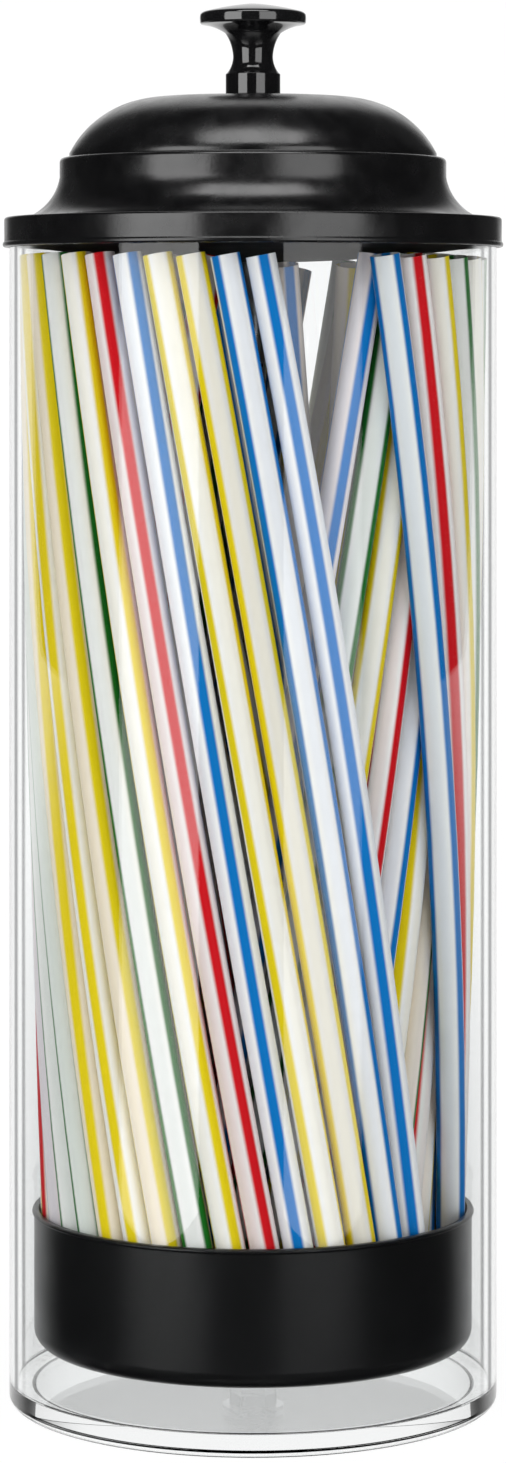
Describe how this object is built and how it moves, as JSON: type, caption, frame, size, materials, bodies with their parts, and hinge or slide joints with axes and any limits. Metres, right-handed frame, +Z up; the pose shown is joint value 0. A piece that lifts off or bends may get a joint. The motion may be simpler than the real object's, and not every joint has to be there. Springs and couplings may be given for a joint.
{
  "type": "straw dispenser",
  "caption": "Clear round jar of drinking straws with a domed black lid; lifting the turned knob raises the lid, the cup and the straws.",
  "frame": {"origin": "centre of the jar's underside", "axes": "+Z up along the rod, -Y towards the viewer of the picture, +X to their right"},
  "size_m": [0.0986, 0.0986, 0.2747],
  "materials": {
    "jar_clear": "clear acrylic, polished",
    "lid_black": "satin black coating on spun sheet",
    "liner_black": "satin black coating",
    "bush_black": "moulded nylon",
    "knob_black": "polished black",
    "cup_black": "satin black moulded",
    "steel": "drawn and zinc plated",
    "brass": "turned and knurled",
    "straw_red": "white film with a red stripe",
    "straw_blue": "white film with a blue stripe",
    "straw_green": "white film with a green stripe",
    "straw_yellow": "white film with a yellow stripe"
  },
  "bodies": {
    "jar": {"jar_tube": "jar_clear", "jar_base": "jar_clear"},
    "lid": {"lid_shell": "lid_black", "lid_liner": "liner_black", "lid_bush": "bush_black", "bush_clip": "steel"},
    "spindle": {"knob": "knob_black", "knob_insert": "brass", "lift_rod": "steel", "rod_collar": "steel", "collar_screw": "steel", "cup": "cup_black", "cup_washers": "steel", "cup_nuts": "steel", "straws_outer_red": "straw_red", "straws_outer_blue": "straw_blue", "straws_outer_green": "straw_green", "straws_outer_yellow": "straw_yellow", "straws_inner_red": "straw_red", "straws_inner_blue": "straw_blue", "straws_inner_green": "straw_green", "straws_inner_yellow": "straw_yellow"}
  },
  "joints": [
    {"name": "lid_lift", "type": "slide", "parent": "jar", "child": "lid", "axis": [0, 0, 1], "range_m": [0, 0.235]},
    {"name": "spindle_turn", "type": "hinge", "parent": "lid", "child": "spindle", "pos_m": [0, 0, 0.2559], "axis": [0, 0, 1], "continuous": true}
  ]
}
